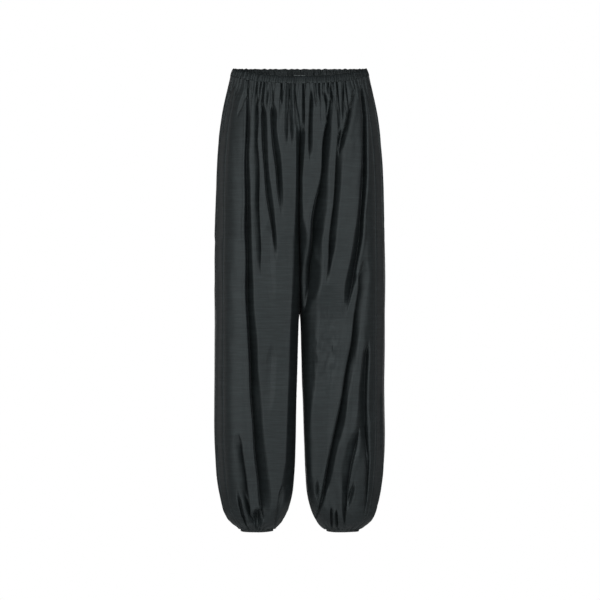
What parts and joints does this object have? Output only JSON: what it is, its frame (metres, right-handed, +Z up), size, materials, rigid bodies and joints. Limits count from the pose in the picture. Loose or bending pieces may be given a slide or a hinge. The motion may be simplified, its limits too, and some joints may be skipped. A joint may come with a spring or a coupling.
{
  "type": "balloon trousers",
  "caption": "Long balloon trousers, filled out with no wearer, with a gathered elastic waist and wide legs that round in to small gathered elastic hems.",
  "frame": {"origin": "middle of the waist opening, at the height of the waist edge over the side seams", "axes": "+Z up along the wearer, -Y to the wearer's front, +X to the wearer's left, which is on the right seen from the front"},
  "size_m": [0.374, 0.248, 1.029],
  "materials": {
    "slate_dupion": "dark slate dupion-like satin with fine crosswise slubs and a soft sheen",
    "label_tape": "pale woven tape, blank"
  },
  "bodies": {
    "root": {"front_left_upper": "slate_dupion", "front_left_lower": "slate_dupion", "front_right_upper": "slate_dupion", "front_right_lower": "slate_dupion", "back_left_upper": "slate_dupion", "back_left_lower": "slate_dupion", "back_right_upper": "slate_dupion", "back_right_lower": "slate_dupion", "waistband": "slate_dupion", "hem_left": "slate_dupion", "hem_right": "slate_dupion", "label": "label_tape"}
  },
  "joints": []
}
